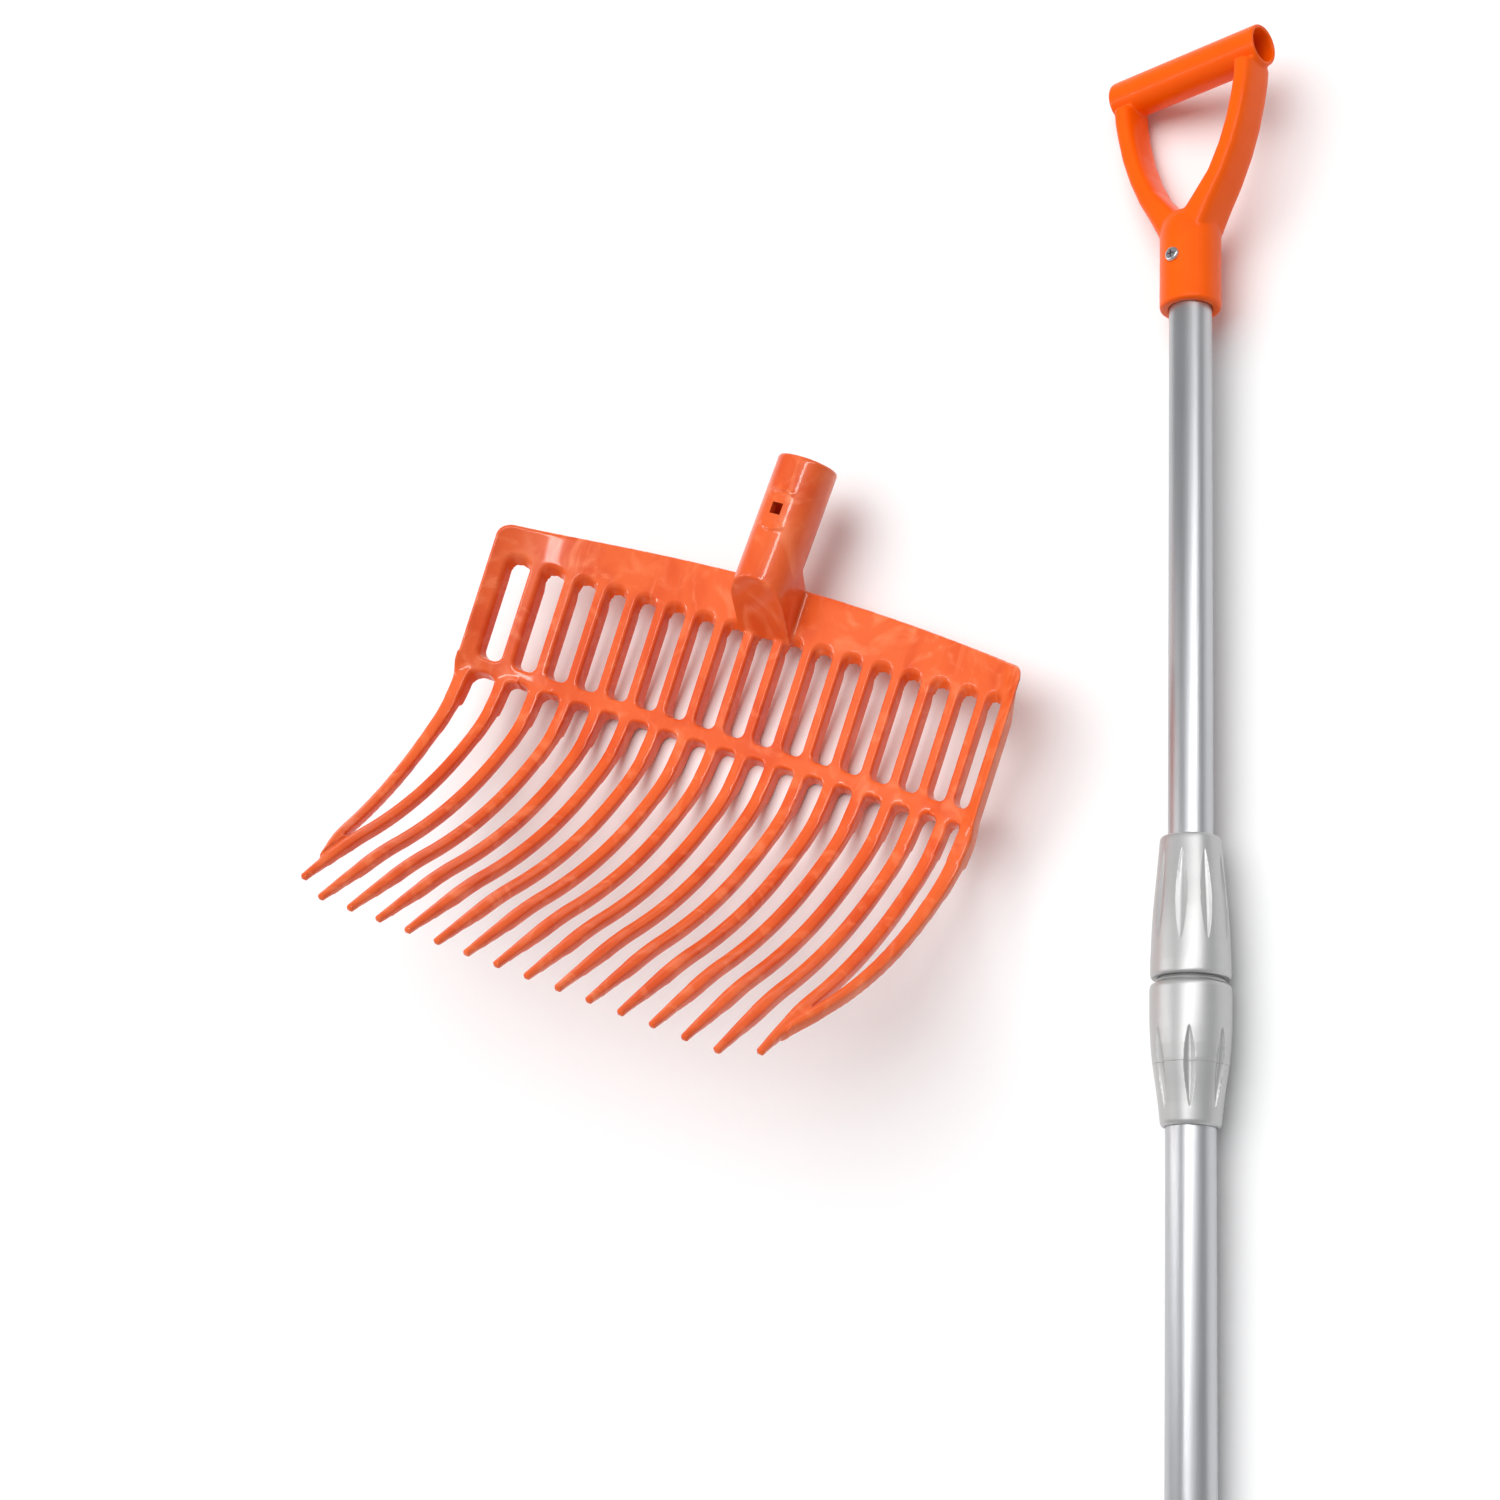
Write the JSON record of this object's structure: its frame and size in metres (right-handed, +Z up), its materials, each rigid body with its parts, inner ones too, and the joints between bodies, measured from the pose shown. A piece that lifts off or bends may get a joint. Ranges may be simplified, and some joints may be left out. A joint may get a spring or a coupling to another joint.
{
  "type": "leaf fork with telescopic handle",
  "caption": "Moulded plastic leaf and bedding fork head lying beside the telescopic aluminium pole with a D-grip that fits its socket.",
  "frame": {"origin": "middle of the whole set's footprint, on the ground it lies on", "axes": "+Y along the pole from its lower end to the D-grip, +Z up; the fork head lies at -X"},
  "size_m": [0.5746, 1.2264, 0.1542],
  "materials": {
    "fork_plastic": "glossy orange-red moulded plastic",
    "grip_plastic": "satin-gloss bright orange moulded plastic",
    "tube_aluminium": "drawn, satin anodised",
    "lock_plastic": "silver-grey satin plastic",
    "black_plastic": "matt black plastic",
    "white_plastic": "natural acetal",
    "screw_steel": "zinc-plated steel"
  },
  "bodies": {
    "fork_head": {"fork_socket": "fork_plastic", "socket_foot": "fork_plastic", "socket_gussets": "fork_plastic", "fork_plate": "fork_plastic", "grid_bars": "fork_plastic", "cross_rib": "fork_plastic", "fork_tines": "fork_plastic", "outer_tines": "fork_plastic"},
    "lower_pole": {"lower_tube": "tube_aluminium", "lower_end_plug": "black_plastic", "lock_base": "lock_plastic", "lock_ring": "lock_plastic", "lock_collet": "white_plastic"},
    "lock_nut": {"lock_nut": "lock_plastic"},
    "upper_pole": {"upper_tube": "tube_aluminium", "guide_bush": "white_plastic", "d_grip": "grip_plastic", "grip_screw": "screw_steel"}
  },
  "joints": [
    {"name": "handle_lift", "type": "slide", "parent": "fork_head", "child": "lower_pole", "axis": [0, 0, 1], "range_m": [0, 0.25]},
    {"name": "lock_twist", "type": "hinge", "parent": "lower_pole", "child": "lock_nut", "pos_m": [0.23219, 0.02996, 0.02319], "axis": [0, 0.9999, 0.014], "range_deg": [0, 120]},
    {"name": "telescope", "type": "slide", "parent": "lower_pole", "child": "upper_pole", "axis": [0, 0.9999, 0.014], "range_m": [-0.27, 0.19]}
  ]
}
